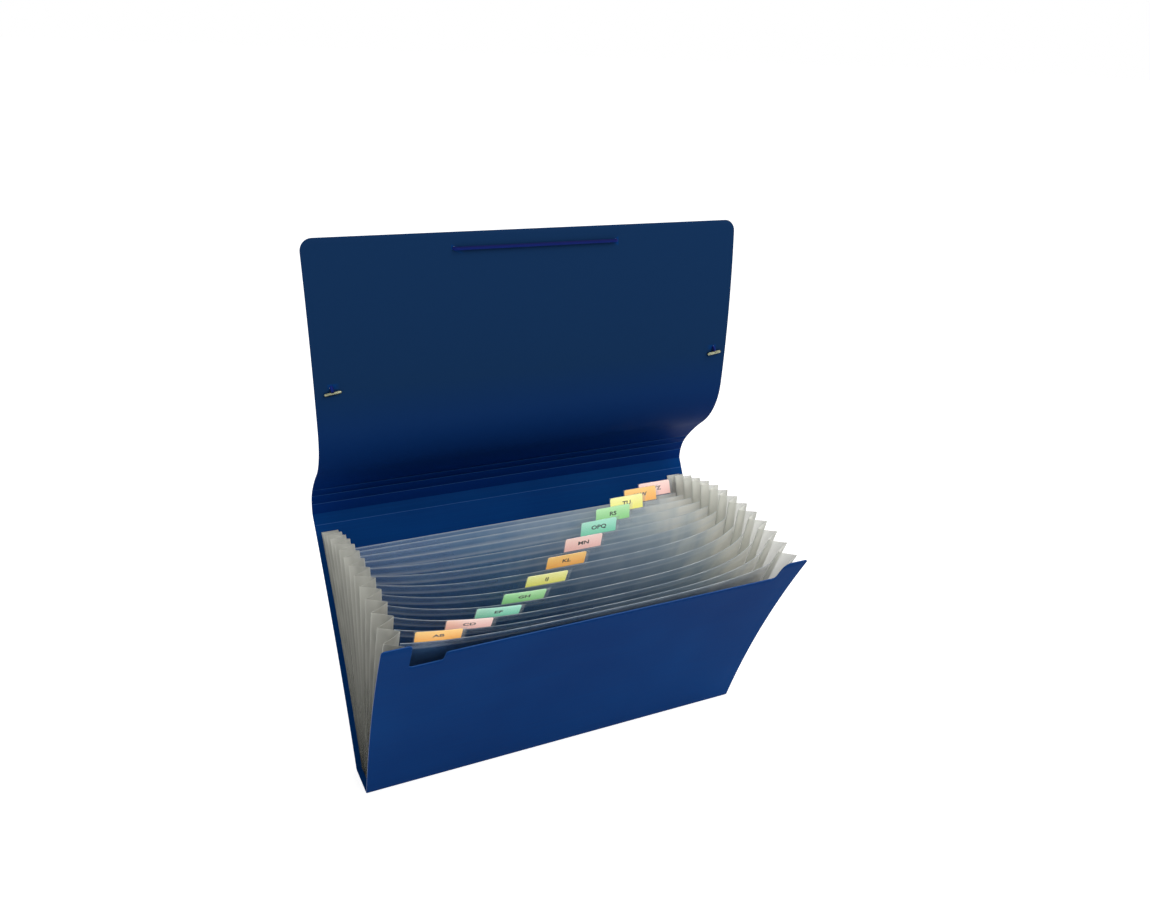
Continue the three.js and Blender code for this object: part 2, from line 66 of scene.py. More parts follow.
def addCamera():
    look = cameraLook
    back = Vector((
        math.sin(look["turn"]) * math.cos(look["tip"]),
        -math.cos(look["turn"]) * math.cos(look["tip"]),
        math.sin(look["tip"]),
    ))
    right = (-back).cross(Vector((0, 0, 1))).normalized()
    up = right.cross(-back)
    rolledRight = math.cos(look["roll"]) * right + math.sin(look["roll"]) * up
    rolledUp = math.cos(look["roll"]) * up - math.sin(look["roll"]) * right
    place = (Vector(look["target"]) + back * look["distance"]) * mm
    bpy.ops.object.camera_add()
    camera = bpy.context.object
    camera.name = "camera"
    turned = Matrix((rolledRight, rolledUp, back)).transposed().to_4x4()
    camera.matrix_world = Matrix.Translation(place) @ turned
    camera.data.lens = look["lens"]
    camera.data.sensor_width = 36
    camera.data.shift_x, camera.data.shift_y = look["shift"]
    camera.data.clip_start = 0.01
    camera.data.clip_end = 200
    scene.camera = camera


addCamera()


# sRGB hex to the linear value that a socket takes
def colour(hexText):
    parts = [int(hexText[i:i + 2], 16) / 255 for i in (1, 3, 5)]
    linear = [c / 12.92 if c <= 0.04045 else ((c + 0.055) / 1.055) ** 2.4 for c in parts]
    return (*linear, 1.0)


# Adds a shader node with its settings (names of properties or sockets) and what is linked into it
def addNode(tree, kind, settings=None, links=None):
    node = tree.nodes.new("ShaderNode" + kind)
    for name, value in (settings or {}).items():
        if isinstance(name, str) and hasattr(node, name):
            setattr(node, name, value)
        else:
            node.inputs[name].default_value = value
    for name, source in (links or {}).items():
        tree.links.new(source, node.inputs[name])
    return node


def newMaterial(name):
    material = bpy.data.materials.new(name)
    material.use_nodes = True
    material.node_tree.nodes.clear()
    return material, material.node_tree


def setRamp(ramp, stops):
    elements = ramp.color_ramp.elements
    while len(elements) < len(stops):
        elements.new(1.0)
    for element, (place, value) in zip(elements, stops):
        element.position = place
        element.color = value


def deselect():
    bpy.ops.object.select_all(action="DESELECT")


def pick(piece):
    deselect()
    piece.select_set(True)
    bpy.context.view_layer.objects.active = piece


def addModifier(piece, kind, settings):
    pick(piece)
    modifier = piece.modifiers.new(kind.title(), kind)
    for name, value in settings.items():
        setattr(modifier, name, value)
    bpy.ops.object.modifier_apply(modifier=modifier.name)


def smooth(piece, angle=35):
    pick(piece)
    bpy.ops.object.shade_smooth_by_angle(angle=math.radians(angle))


# A grid whose point (column, row) is put where place(column, row) says, in millimetres
def gridSheet(name, columns, rows, place):
    deselect()
    bpy.ops.mesh.primitive_grid_add(x_subdivisions=columns, y_subdivisions=rows, size=1)
    sheet = bpy.context.object
    sheet.name = name
    for point in sheet.data.vertices:
        column = round((point.co.x + 0.5) * columns)
        row = round((point.co.y + 0.5) * rows)
        point.co = Vector(place(column, row)) * mm
    return sheet


# Gives a sheet its wall, from the middle (offset 0) or to one side (1), and its rim a material slot
def thicken(sheet, thickness, offset, rimSlot=0):
    addModifier(sheet, "SOLIDIFY", {
        "thickness": thickness * mm, "offset": offset,
        "use_even_offset": True, "material_offset_rim": rimSlot,
    })


def roundEdges(piece, width, segments, angle):
    addModifier(piece, "BEVEL", {
        "width": width, "segments": segments, "limit_method": "ANGLE", "angle_limit": math.radians(angle),
    })


def finishPiece(piece, body, slotName, *nodes):
    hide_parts(*nodes)
    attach(piece, body)


def steps(low, high, count):
    return [low + (high - low) * i / count for i in range(count + 1)]


# A line through all the marks, with no step longer than the longest
def denseSteps(marks, longest):
    line = [marks[0]]
    for mark in marks[1:]:
        count = max(1, math.ceil((mark - line[-1]) / longest - 1e-6))
        line += steps(line[-1], mark, count)[1:]
    return line


# Polypropylene sheet, extruded and finely brushed: satin, dyed dark blue right through
def makeSheetPlastic():
    material, tree = newMaterial("brushed_polypropylene_sheet_blue")
    place = addNode(tree, "TexCoord").outputs["Object"]
    # the brushing is about 0.2 mm apart; drawn 1.2 mm apart so that it shows
    line = addNode(tree, "Mapping", {"Scale": (14, 830, 830)}, {"Vector": place})
    brushed = addNode(tree, "TexNoise", {"Scale": 1.0, "Detail": 3.0}, {"Vector": line.outputs[0]})
    wide = addNode(tree, "TexNoise", {"Scale": 9.0, "Detail": 2.0}, {"Vector": place})
    fine = addNode(tree, "TexNoise", {"Scale": 1400.0, "Detail": 1.0}, {"Vector": place})
    both = addNode(tree, "Math", {"operation": "MULTIPLY_ADD", 1: 0.35},
                   {0: brushed.outputs["Fac"], 2: wide.outputs["Fac"]})
    tone = addNode(tree, "ValToRGB", None, {"Fac": both.outputs[0]})
    setRamp(tone, [(0.45, colour("#03316b")), (0.95, colour("#063c79"))])
    # the inside of the lid is darker low down by the bend near the hinge, which is painted shade, and greyer
    # above the bend
    inside = addNode(tree, "Attribute", {"attribute_name": "inside"})
    rise = addNode(tree, "SeparateXYZ", None, {"Vector": place})
    above = addNode(tree, "MapRange", {"From Min": 0.23, "From Max": 0.32}, {"Value": rise.outputs["Z"]})
    insideShadeToGrey = addNode(tree, "ValToRGB", None, {"Fac": above.outputs[0]})
    setRamp(insideShadeToGrey, [(0.0, colour("#042a6a")), (1.0, colour("#122f54"))])
    insideShadedGrey = addNode(tree, "Mix", {"data_type": "RGBA"},
                    {0: inside.outputs["Fac"], 6: tone.outputs["Color"], 7: insideShadeToGrey.outputs["Color"]})
    # the plastic is lighter along the score lines: partly the whitening of the folded plastic, partly painted
    # highlight
    score = addNode(tree, "Attribute", {"attribute_name": "score"})
    scoreWhiteningAndHighlight = addNode(tree, "Mix", {"data_type": "RGBA", 7: colour("#2f5590")},
                       {0: score.outputs["Fac"], 6: insideShadedGrey.outputs[2]})
    rough = addNode(tree, "MapRange", {"To Min": 0.42, "To Max": 0.56}, {"Value": brushed.outputs["Fac"]})
    height = addNode(tree, "Math", {"operation": "MULTIPLY_ADD", 1: 0.4},
                     {0: fine.outputs["Fac"], 2: brushed.outputs["Fac"]})
    bump = addNode(tree, "Bump", {"Strength": 0.10, "Distance": 0.0003}, {"Height": height.outputs[0]})
    plastic = addNode(tree, "BsdfPrincipled", {"IOR": 1.49, "Specular IOR Level": 0.015}, {
        "Base Color": scoreWhiteningAndHighlight.outputs[2], "Roughness": rough.outputs[0], "Normal": bump.outputs[0],
    })
    addNode(tree, "OutputMaterial", None, {"Surface": plastic.outputs[0]})
    return material


# Cut edge of the same sheet: painted a little lighter, as a highlight along the edge, and smoother where the
# blade passed
def makeCutEdge():
    material, tree = newMaterial("cut_edge_polypropylene_blue")
    place = addNode(tree, "TexCoord").outputs["Object"]
    nicks = addNode(tree, "TexNoise", {"Scale": 500.0, "Detail": 2.0}, {"Vector": place})
    tone = addNode(tree, "ValToRGB", None, {"Fac": nicks.outputs["Fac"]})
    setRamp(tone, [(0.3, colour("#123f7c")), (0.7, colour("#1d4f8f"))])
    plastic = addNode(tree, "BsdfPrincipled", {"Roughness": 0.38, "IOR": 1.49, "Specular IOR Level": 0.15},
                      {"Base Color": tone.outputs["Color"]})
    addNode(tree, "OutputMaterial", None, {"Surface": plastic.outputs[0]})
    return material


# Polypropylene film, calendered and milky, with faint streaks up the pleats. Its colour holds painted light
# and shade: lighter towards the top and towards the right, where light comes through the pleats, and darker
# low down where the pleats close
def makePleatFilm():
    material, tree = newMaterial("frosted_polypropylene_film_pleated")
    place = addNode(tree, "TexCoord").outputs["Object"]
    streak = addNode(tree, "Mapping", {"Scale": (120, 120, 5)}, {"Vector": place})
    streaks = addNode(tree, "TexNoise", {"Scale": 1.0, "Detail": 1.0}, {"Vector": streak.outputs[0]})
    rise = addNode(tree, "SeparateXYZ", None, {"Vector": place})
    # painted light and shade: the film is lighter towards the top and towards the right end, darker low down
    # and to the left
    high = addNode(tree, "MapRange", {"From Min": 0.0, "From Max": 0.2, "To Min": 0.0, "To Max": 0.45},
                   {"Value": rise.outputs["Z"]})
    right = addNode(tree, "MapRange", {"From Min": -0.16, "From Max": 0.16, "To Min": 0.0, "To Max": 0.5},
                    {"Value": rise.outputs["X"]})
    light = addNode(tree, "Math", {"operation": "ADD"}, {0: high.outputs[0], 1: right.outputs[0]})
    both = addNode(tree, "Math", {"operation": "MULTIPLY_ADD", 1: 0.3},
                   {0: streaks.outputs["Fac"], 2: light.outputs[0]})
    # towards the outer folds on the right the walls shade each other, which looks darker
    outward = addNode(tree, "Attribute", {"attribute_name": "outward"})
    close = addNode(tree, "Math", {"operation": "MULTIPLY"}, {0: outward.outputs["Fac"], 1: right.outputs[0]})
    bright = addNode(tree, "Math", {"operation": "SUBTRACT"}, {0: both.outputs[0], 1: close.outputs[0]})
    tone = addNode(tree, "ValToRGB", None, {"Fac": bright.outputs[0]})
    setRamp(tone, [(0.1, colour("#3a3c34")), (0.95, colour("#f4f4ea"))])
    # painted highlight along the folds, as strong as the painted light there
    fold = addNode(tree, "Attribute", {"attribute_name": "fold"})
    foldHighlight = addNode(tree, "Math", {"operation": "MULTIPLY"}, {0: fold.outputs["Fac"], 1: light.outputs[0]})
    lit = addNode(tree, "Mix", {"data_type": "RGBA", 7: colour("#dcded4")},
                  {0: foldHighlight.outputs[0], 6: tone.outputs["Color"]})
    rough = addNode(tree, "MapRange", {"To Min": 0.3, "To Max": 0.45}, {"Value": streaks.outputs["Fac"]})
    film = addNode(tree, "BsdfPrincipled", {"IOR": 1.49, "Specular IOR Level": 0.3, "Alpha": 0.5},
                   {"Base Color": lit.outputs[2], "Roughness": rough.outputs[0]})
    addNode(tree, "OutputMaterial", None, {"Surface": film.outputs[0]})
    return material


# The dividers are the same film, clearer, in one layer: the blue of the cover seen through it is painted into
# its colour
def makeDividerFilm():
    material, tree = newMaterial("clear_polypropylene_film")
    place = addNode(tree, "TexCoord").outputs["Object"]
    streak = addNode(tree, "Mapping", {"Scale": (45, 45, 7)}, {"Vector": place})
    streaks = addNode(tree, "TexNoise", {"Scale": 1.0, "Detail": 2.0}, {"Vector": streak.outputs[0]})
    across = addNode(tree, "SeparateXYZ", None, {"Vector": place})
    # painted light: lighter and milkier towards the right end
    side = addNode(tree, "MapRange", {"From Min": -0.16, "From Max": 0.2}, {"Value": across.outputs["X"]})
    both = addNode(tree, "Math", {"operation": "MULTIPLY_ADD", 1: 0.3},
                   {0: streaks.outputs["Fac"], 2: side.outputs[0]})
    tone = addNode(tree, "ValToRGB", None, {"Fac": both.outputs[0]})
    setRamp(tone, [(0.15, colour("#41689c")), (0.46, colour("#5f87ad")), (0.85, colour("#bccbd4")),
                   (0.98, colour("#f4f3ea"))])
    # the film is folded back on itself along the top, which shows as a second line
    rise = addNode(tree, "Attribute", {"attribute_name": "rise"})
    hem = addNode(tree, "ValToRGB", None, {"Fac": rise.outputs["Fac"]})
    setRamp(hem, [(0.0, (0, 0, 0, 1)), (0.955, (0, 0, 0, 1)), (0.965, (0.5, 0.5, 0.5, 1)),
                  (0.975, (0.1, 0.1, 0.1, 1)), (0.994, (0.1, 0.1, 0.1, 1)), (1.0, (0.8, 0.8, 0.8, 1))])
    lit = addNode(tree, "Mix", {"data_type": "RGBA", 7: colour("#dfe7ec")},
                  {0: hem.outputs["Color"], 6: tone.outputs["Color"]})
    film = addNode(tree, "BsdfPrincipled", {"Roughness": 0.22, "IOR": 1.49, "Alpha": 0.56},
                   {"Base Color": lit.outputs[2]})
    addNode(tree, "OutputMaterial", None, {"Surface": film.outputs[0]})
    return material


# Cut edge of the film: painted white, as the highlight of the light it gathers
def makeFilmEdge():
    material, tree = newMaterial("cut_edge_clear_film")
    place = addNode(tree, "TexCoord").outputs["Object"]
    nicks = addNode(tree, "TexNoise", {"Scale": 60.0, "Detail": 2.0}, {"Vector": place})
    tone = addNode(tree, "ValToRGB", None, {"Fac": nicks.outputs["Fac"]})
    setRamp(tone, [(0.35, colour("#8fa0ae")), (0.7, colour("#eef3f5"))])
    film = addNode(tree, "BsdfPrincipled", {"Roughness": 0.18, "IOR": 1.49, "Alpha": 0.85},
                   {"Base Color": tone.outputs["Color"]})
    addNode(tree, "OutputMaterial", None, {"Surface": film.outputs[0]})
    return material


# PVC film of the tab sleeves: clear and glossy
def makeSleeveFilm():
    material, tree = newMaterial("clear_vinyl_film")
    place = addNode(tree, "TexCoord").outputs["Object"]
    haze = addNode(tree, "TexNoise", {"Scale": 120.0, "Detail": 2.0}, {"Vector": place})
    tone = addNode(tree, "ValToRGB", None, {"Fac": haze.outputs["Fac"]})
    setRamp(tone, [(0.3, colour("#c6d0d6")), (0.8, colour("#f2f6f8"))])
    film = addNode(tree, "BsdfPrincipled", {"Roughness": 0.08, "IOR": 1.53, "Alpha": 0.07},
                   {"Base Color": tone.outputs["Color"]})
    addNode(tree, "OutputMaterial", None, {"Surface": film.outputs[0]})
    return material


# Printed index card: uncoated board, matt, slightly lighter towards the top
def makeCardBoard(name, low, high):
    material, tree = newMaterial("printed_board_" + name)
    place = addNode(tree, "TexCoord").outputs["Object"]
    fibre = addNode(tree, "TexNoise", {"Scale": 900.0, "Detail": 2.0}, {"Vector": place})
    rise = addNode(tree, "Attribute", {"attribute_name": "rise"})
    both = addNode(tree, "Math", {"operation": "MULTIPLY_ADD", 1: 0.12},
                   {0: fibre.outputs["Fac"], 2: rise.outputs["Fac"]})
    tone = addNode(tree, "ValToRGB", None, {"Fac": both.outputs[0]})
    setRamp(tone, [(0.1, colour(low)), (1.0, colour(high))])
    # painted light: the card glows a little in its own colour, so that it stays bright in the shade inside
    # the folder
    board = addNode(tree, "BsdfPrincipled", {"Roughness": 0.7, "Emission Strength": 0.38},
                    {"Base Color": tone.outputs["Color"], "Emission Color": tone.outputs["Color"]})
    addNode(tree, "OutputMaterial", None, {"Surface": board.outputs[0]})
    return material


# Printing ink, matt black, slightly uneven
def makeInk():
    material, tree = newMaterial("printing_ink_black")
    place = addNode(tree, "TexCoord").outputs["Object"]
    grain = addNode(tree, "TexNoise", {"Scale": 1500.0}, {"Vector": place})
    tone = addNode(tree, "ValToRGB", None, {"Fac": grain.outputs["Fac"]})
    setRamp(tone, [(0.3, colour("#2a2a26")), (0.8, colour("#45443c"))])
    ink = addNode(tree, "BsdfPrincipled", {"Roughness": 0.6}, {"Base Color": tone.outputs["Color"]})
    addNode(tree, "OutputMaterial", None, {"Surface": ink.outputs[0]})
    return material


# Braided polyester over rubber: matt, ribbed by the crossing threads, which are drawn coarse to show
def makeElasticBraid():
    material, tree = newMaterial("braided_polyester_elastic_blue")
    place = addNode(tree, "TexCoord").outputs["UV"]
    ribs = []
    for turn in (1, -1):
        slant = addNode(tree, "Mapping", {"Rotation": (0, 0, turn * math.radians(40))}, {"Vector": place})
        ribs.append(addNode(tree, "TexWave", {"Scale": 0.4}, {"Vector": slant.outputs[0]}))
    braid = addNode(tree, "Math", {"operation": "MAXIMUM"},
                    {0: ribs[0].outputs["Fac"], 1: ribs[1].outputs["Fac"]})
    tone = addNode(tree, "ValToRGB", None, {"Fac": braid.outputs[0]})
    setRamp(tone, [(0.3, colour("#020d48")), (0.95, colour("#0b2474"))])
    bump = addNode(tree, "Bump", {"Strength": 0.5, "Distance": 0.0002}, {"Height": braid.outputs[0]})
    cloth = addNode(tree, "BsdfPrincipled",
                    {"Roughness": 0.75, "Specular IOR Level": 0.1, "Sheen Weight": 0.03},
                    {"Base Color": tone.outputs["Color"], "Normal": bump.outputs[0]})
    addNode(tree, "OutputMaterial", None, {"Surface": cloth.outputs[0]})
    return material


# Brass-plated steel of the bars: dulled to a greenish grey, bright where it is worn
def makeBarMetal():
    material, tree = newMaterial("brass_plated_steel")
    place = addNode(tree, "TexCoord").outputs["Object"]
    wear = addNode(tree, "TexNoise", {"Scale": 700.0, "Detail": 2.0}, {"Vector": place})
    tone = addNode(tree, "ValToRGB", None, {"Fac": wear.outputs["Fac"]})
    setRamp(tone, [(0.3, colour("#5c5e4a")), (0.75, colour("#a5a78e"))])
    rough = addNode(tree, "MapRange", {"To Min": 0.18, "To Max": 0.38}, {"Value": wear.outputs["Fac"]})
    metal = addNode(tree, "BsdfPrincipled", {"Metallic": 1.0},
                    {"Base Color": tone.outputs["Color"], "Roughness": rough.outputs[0]})
    addNode(tree, "OutputMaterial", None, {"Surface": metal.outputs[0]})
    return material


sheetPlastic = makeSheetPlastic()
cutEdge = makeCutEdge()
pleatFilm = makePleatFilm()
dividerFilm = makeDividerFilm()
filmEdge = makeFilmEdge()
sleeveFilm = makeSleeveFilm()
ink = makeInk()
elasticBraid = makeElasticBraid()
barMetal = makeBarMetal()
boards = {
    "orange": makeCardBoard("orange", "#f3ac48", "#fac872"),
    "pink": makeCardBoard("pink", "#f2bfb6", "#fad8ce"),
    "mint": makeCardBoard("mint", "#78d2ae", "#aae6ce"),
    "green": makeCardBoard("green", "#8cd182", "#b4e6aa"),
    "yellow": makeCardBoard("yellow", "#f0e970", "#f8f3a2"),
}
print("materials made")


tabCount = 12
pocketCount = tabCount + 1

# Shape of the sheets, in the plane of Y and Z
folder = {
    "width": 350,
    "bottomDepth": 32,
    "thickness": 0.8,
    "foldRadius": 1.6,
    "backHeight": 218,
    "frontHeight": 205,
    "lean": math.radians(17.5),
    "curl": 1 / 971.1,
    "hingeGap": 0.3,
    "scorePitch": 9.5,
    "scoreDepth": 0.3,
    "scoreWidth": 1.0,
    "rimRound": 0.14,
}


# Where a sheet is after a length that starts at a lean and turns evenly by so much each millimetre
def bendPoint(start, lean, turn, length):
    if abs(turn) < 1e-9:
        return (start[0] + length * math.sin(lean), start[1] + length * math.cos(lean))
    end = lean + turn * length
    across = (math.cos(lean) - math.cos(end)) / turn
    rise = (math.sin(end) - math.sin(lean)) / turn
    return (start[0] + across, start[1] + rise)


# A point of the front panel (side -1) or the back panel (side 1), so far up from the bottom band
def panelPoint(side, distance):
    foot = (side * folder["bottomDepth"] / 2, 0)
    return bendPoint(foot, side * folder["lean"], side * folder["curl"], distance)


# The bends are pairs of distance from the hinge and lean in degrees there
lidShape = {
    "length": 246,
    "corner": 9,
    "bends": [(0, 3), (25, -39), (60, -52), (110, -2), (246, 7)],
    "scores": [folder["scorePitch"] * i for i in (1, 2, 3)],
    "sideHole": (162.5, 143.0),
    "frontHole": (66.0, 234.5),
    "holeRadius": 1.35,
    "squeezed": 24,
    "squeezedRows": 6,
    "cornerSteps": 8,
    "column": 10,
    "row": 4.5,
}
hinge = panelPoint(1, folder["backHeight"])


def lidLean(distance):
    bends = lidShape["bends"]
    for low, high in zip(bends, bends[1:]):
        if distance <= high[0] or high is bends[-1]:
            share = (distance - low[0]) / (high[0] - low[0])
            return math.radians(low[1] + (high[1] - low[1]) * share)


def lidPoint(distance):
    place = hinge
    bends = lidShape["bends"]
    for low, high in zip(bends, bends[1:]):
        run = max(0.0, (distance if high is bends[-1] else min(distance, high[0])) - low[0])
        turn = math.radians(high[1] - low[1]) / (high[0] - low[0])
        place = bendPoint(place, math.radians(low[1]), turn, run)
    return place


# Where a point of the lid is and how it is turned, with its Z out of the inner face
def lidFrame(distance, x):
    lean = lidLean(distance)
    y, z = lidPoint(distance)
    turned = Matrix((
        (1, 0, 0),
        (0, math.sin(lean), -math.cos(lean)),
        (0, math.cos(lean), math.sin(lean)),
    )).to_4x4()
    return Matrix.Translation((x, y, z)) @ turned


# The pockets fan out between the panels, pocket 0 at the back
def fanPoint(pocket, distance):
    share = 1 - 2 * pocket / pocketCount
    foot = ((folder["bottomDepth"] / 2 - folder["thickness"]) * share, folder["thickness"])
    return bendPoint(foot, folder["lean"] * share, folder["curl"] * share, distance)


def pocketSpacing(distance):
    low, high = fanPoint(6.0, distance), fanPoint(7.0, distance)
    return math.hypot(high[0] - low[0], high[1] - low[1])


# Marks a float value on the points of a piece
def markPoints(piece, name, values):
    layer = piece.data.attributes.new(name, "FLOAT", "POINT")
    layer.data.foreach_set("value", values)


# Presses score lines into the inner face of a sheet, at the rows given, and marks them and the inside.
# At the sheet's first row the inner face is the one further along Y (inward 1) or against it (inward -1).
def pressScores(sheet, columns, pressedRows, inward, insideValue):
    points = sheet.data.vertices
    count = len(points) // 2
    middle = columns // 2
    innerFirst = (points[middle].co.y - points[middle + count].co.y) * inward > 0
    innerStart, outerStart = (0, count) if innerFirst else (count, 0)
    share = folder["scoreDepth"] / folder["thickness"]
    scores = [0.0] * (2 * count)
    inside = [0.0] * (2 * count)
    inside[innerStart:innerStart + count] = [insideValue] * count
    for row in pressedRows:
        for column in range(columns + 1):
            place = row * (columns + 1) + column
            inner = points[innerStart + place]
            inner.co += (points[outerStart + place].co - inner.co) * share
            scores[innerStart + place] = 1.0
    markPoints(sheet, "score", scores)
    markPoints(sheet, "inside", inside)


# Cover: front panel, bottom band and back panel in one sheet. Above squeezeFrom the rows of the front panel
# are squeezed together, so that the last one follows its cut top edge.
ears = {
    "width": 22,
    "rise": 20,
    "outerCorner": 3,
    "innerCorner": 7,
    "notchWidth": 26,
    "notchDepth": 10.5,
    "notchCorner": 3,
    "wallLean": 0.3,
}
coverGrid = {
    "column": 9,
    "backRow": 7,
    "frontRows": 22,
    "squeezeFrom": 140,
    "squeezedRows": 9,
    "foldSteps": 6,
}
cornerTurns = steps(0, math.pi / 2, 5)


# Rounded step from one height to another as a line of (x, height), with a radius at each end
def stepLine(x, low, high, lowRadius, highRadius):
    rise = 1 if high > low else -1
    reach = ears["wallLean"] / 2
    line = []
    for turn in cornerTurns:
        across, up = lowRadius * (1 - math.sin(turn)), lowRadius * (1 - math.cos(turn))
        line.append((x - reach - across, low + rise * up))
    for turn in cornerTurns:
        across, up = highRadius * (1 - math.cos(turn)), highRadius * (1 - math.sin(turn))
        line.append((x + reach + across, high - rise * up))
    return line


# Top edge of the front panel from left to right, with an ear at each end and the thumb notch by the left one
def frontEdge():
    side = folder["width"] / 2
    foot = side - ears["width"]
    rise, outer, inner, small = ears["rise"], ears["outerCorner"], ears["innerCorner"], ears["notchCorner"]
    line = []
    for turn in cornerTurns:
        line.append((-side + outer * (1 - math.cos(turn)), rise - outer * (1 - math.sin(turn))))
    line += stepLine(-foot, rise, -ears["notchDepth"], small, small)
    line += stepLine(-foot + ears["notchWidth"], -ears["notchDepth"], 0, small, small)
    line += stepLine(foot, 0, rise, small, inner)
    for turn in cornerTurns:
        line.append((side - outer * (1 - math.sin(turn)), rise - outer * (1 - math.cos(turn))))
    return line


def edgeHeight(line, x):
    for low, high in zip(line, line[1:]):
        if x <= high[0]:
            return low[1] + (high[1] - low[1]) * (x - low[0]) / (high[0] - low[0])
    return line[-1][1]


# The rounded fold between the bottom band and the back panel, and how far it reaches along each of them
def foldArc():
    radius = folder["foldRadius"]
    half = (math.pi / 2 + folder["lean"]) / 2
    reach = radius * math.tan((math.pi - 2 * half) / 2)
    middle = folder["bottomDepth"] / 2 - reach
    return [
        (middle + radius * math.sin(turn), radius - radius * math.cos(turn))
        for turn in steps(0, math.pi - 2 * half, coverGrid["foldSteps"])
    ], reach


def makeCover():
    edge = frontEdge()
    columns = denseSteps([x for x, height in edge], coverGrid["column"])
    mainEdge = folder["frontHeight"] - ears["rise"]
    squeezeFrom, foldSteps = coverGrid["squeezeFrom"], coverGrid["foldSteps"]
    arc, reach = foldArc()
    front = [("front", d) for d in steps(0, 1, coverGrid["squeezedRows"])[::-1]]
    front += [("up", d) for d in steps(reach, squeezeFrom, coverGrid["frontRows"])[:-1][::-1]]
    bottom = [("arcFront", i) for i in range(1, foldSteps)] + [("flat", s) for s in (-1.0, 0.0, 1.0)]
    bottom += [("arcBack", i) for i in range(1, foldSteps)]
    score = folder["backHeight"] - folder["scorePitch"]
    half = folder["scoreWidth"] / 2
    marks = denseSteps([reach, score - half], coverGrid["backRow"])
    marks += [score, score + half, folder["backHeight"] - folder["hingeGap"] / 2]
    rows = front + bottom + [("back", d) for d in marks]
    scoreRow = rows.index(("back", score))

    def place(column, row):
        x = columns[column]
        kind, value = rows[row]
        if kind == "front":
            top = mainEdge + edgeHeight(edge, x)
            y, z = panelPoint(-1, squeezeFrom + (top - squeezeFrom) * value)
        elif kind == "up":
            y, z = panelPoint(-1, value)
        elif kind == "arcFront":
            y, z = arc[foldSteps - value]
            y = -y
        elif kind == "flat":
            y, z = value * (folder["bottomDepth"] / 2 - reach), 0
        elif kind == "arcBack":
            y, z = arc[value]
        else:
            y, z = panelPoint(1, value)
        return (x, y, z)

    cover = gridSheet("cover_sheet", len(columns) - 1, len(rows) - 1, place)
    cover.data.materials.append(sheetPlastic)
    cover.data.materials.append(cutEdge)
    thicken(cover, folder["thickness"], 1, 1)
    pressScores(cover, len(columns) - 1, [scoreRow], 1, 0.0)
    roundEdges(cover, folder["rimRound"] * mm, 2, 55)
    smooth(cover)
    finishPiece(cover, "file", "cover_plastic", "cover")


makeCover()
print("cover made")


# Lid: the sheet goes on above the hinge, with rounded corners and four holes for the elastic
def cutHole(sheet, distance, x):
    deselect()
    bpy.ops.mesh.primitive_cylinder_add(radius=lidShape["holeRadius"] * mm, depth=6 * mm, vertices=24)
    cutter = bpy.context.object
    holeFrame = lidFrame(distance, x)
    cutter.data.transform(Matrix.Translation(holeFrame.translation * mm) @ holeFrame.to_3x3().to_4x4())
    cutter.data.materials.append(sheetPlastic)
    cutter.data.materials.append(cutEdge)
    for face in cutter.data.polygons:
        face.material_index = 1
    addModifier(sheet, "BOOLEAN", {"operation": "DIFFERENCE", "solver": "EXACT", "object": cutter})
    bpy.data.objects.remove(cutter)


def makeLid():
    side, corner, length = folder["width"] / 2, lidShape["corner"], lidShape["length"]
    turns = steps(0, math.pi / 2, lidShape["cornerSteps"])
    arc = [side - corner + corner * math.sin(turn) for turn in turns]
    columns = denseSteps([-x for x in arc[::-1]] + arc, lidShape["column"])
    half = folder["scoreWidth"] / 2
    marks = [folder["hingeGap"] / 2]
    for score in lidShape["scores"]:
        marks += [score - half, score, score + half]
    squeezeFrom, count = length - lidShape["squeezed"], lidShape["squeezedRows"]
    rows = denseSteps(marks + [squeezeFrom], lidShape["row"])
    rows += [squeezeFrom + lidShape["squeezed"] * i / count for i in range(1, count + 1)]

    def place(column, row):
        x, distance = columns[column], rows[row]
        over = max(0.0, abs(x) - (side - corner))
        top = length - corner + math.sqrt(max(0.0, corner ** 2 - over ** 2))
        if distance > squeezeFrom:
            distance = squeezeFrom + (distance - squeezeFrom) * (top - squeezeFrom) / (length - squeezeFrom)
        return (x, *lidPoint(distance))

    lid = gridSheet("lid_sheet", len(columns) - 1, len(rows) - 1, place)
    lid.data.materials.append(sheetPlastic)
    lid.data.materials.append(cutEdge)
    thicken(lid, folder["thickness"], 1, 1)
    pressScores(lid, len(columns) - 1, [rows.index(score) for score in lidShape["scores"]], -1, 1.0)
    roundEdges(lid, folder["rimRound"] * mm, 2, 55)
    for hole in ("sideHole", "frontHole"):
        for sign in (-1, 1):
            cutHole(lid, lidShape[hole][1], sign * lidShape[hole][0])
    smooth(lid)
    finishPiece(lid, "lid", "cover_plastic", "lid")


makeLid()
print("lid made")


# Living hinge: the thin web of the sheet under the score line between back panel and lid
hingeWeb = {
    "reach": 1.2,
    "thickness": 0.25,
    "offFace": 0.2,
    "sideGap": 0.5,
    "columns": 40,
    "rows": 8,
}


def makeHingeWeb():
    reach = hingeWeb["reach"]
    places = steps(-reach, reach, hingeWeb["rows"])
    width = folder["width"] - 2 * hingeWeb["sideGap"]

    def place(column, row):
        x = -folder["width"] / 2 + hingeWeb["sideGap"] + width * column / hingeWeb["columns"]
        along = places[row]
        y, z = panelPoint(1, folder["backHeight"] + along) if along < 0 else lidPoint(along)
        return (x, y - hingeWeb["offFace"], z)

    web = gridSheet("hinge_web", hingeWeb["columns"], hingeWeb["rows"], place)
    web.data.materials.append(sheetPlastic)
    thicken(web, hingeWeb["thickness"], 1)
    smooth(web)
    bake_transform(web)


